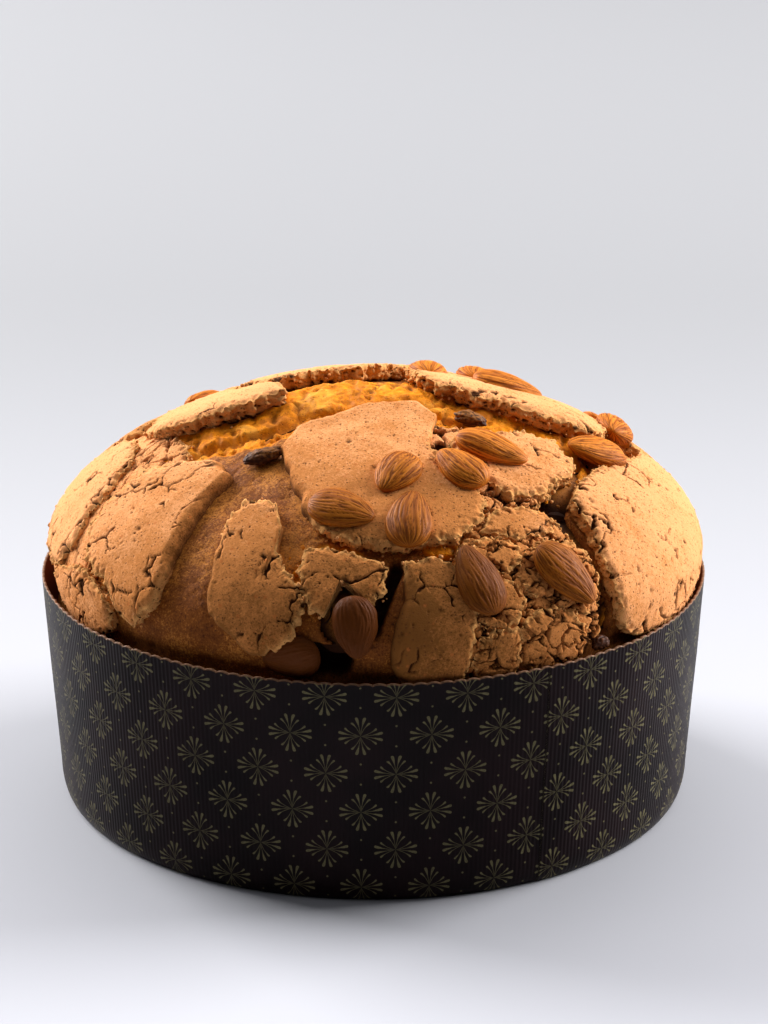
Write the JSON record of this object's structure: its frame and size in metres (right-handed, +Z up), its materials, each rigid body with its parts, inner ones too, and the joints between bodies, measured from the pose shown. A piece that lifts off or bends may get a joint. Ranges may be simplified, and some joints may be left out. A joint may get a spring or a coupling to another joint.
{
  "type": "panettone",
  "caption": "Round low sweet bread with a domed top under cracked nut glaze and almonds, in its dark printed paper baking case.",
  "frame": {"origin": "centre of the underside of the paper case, on the surface it stands on", "axes": "+Z up out of the case; -Y is the front, the side with the almonds in the front pit; +X is to the right seen from the front"},
  "size_m": [0.21, 0.21, 0.1329],
  "materials": {
    "case_paper": "dark brown ribbed baking paper with a sand-coloured print of small fan rosettes, matt with a soft sheen",
    "crust": "baked golden-brown crust, torn open in places to a lighter yellow crumb",
    "glaze": "matt sandy nut and sugar glaze, finely pored and cracked",
    "almond": "roasted almond skin with lengthwise wrinkles, soft sheen",
    "raisin": "dark baked raisin, wrinkled, slight gloss"
  },
  "bodies": {
    "root": {"almond_back_left": "almond", "almond_back_middle": "almond", "almond_back_right": "almond", "almond_crown_left": "almond", "almond_crown_low": "almond", "almond_crown_notch": "almond", "almond_crown_right": "almond", "almond_crown_top": "almond", "almond_front_left": "almond", "almond_front_right": "almond", "almond_pit_deep": "almond", "almond_pit_front": "almond", "almond_pit_upper": "almond", "almond_rear_left": "almond", "almond_rear_middle": "almond", "almond_rear_right": "almond", "almond_right_crack": "almond", "almond_right_edge": "almond", "cake": "crust", "glaze_almond_bed": "glaze", "glaze_almond_edge": "glaze", "glaze_back_left": "glaze", "glaze_back_right": "glaze", "glaze_chip_middle": "glaze", "glaze_chip_upper": "glaze", "glaze_crown": "glaze", "glaze_crown_right": "glaze", "glaze_front_drip": "glaze", "glaze_front_left": "glaze", "glaze_front_middle": "glaze", "glaze_front_right": "glaze", "glaze_lifted_left": "glaze", "glaze_low_left": "glaze", "glaze_low_middle": "glaze", "glaze_low_right": "glaze", "glaze_rear_left": "glaze", "glaze_rear_low": "glaze", "glaze_rear_middle": "glaze", "glaze_rear_right": "glaze", "glaze_right": "glaze", "glaze_rim_left": "glaze", "paper_case": "case_paper", "raisin_back": "raisin", "raisin_left": "raisin", "raisin_low_right": "raisin"}
  },
  "joints": []
}
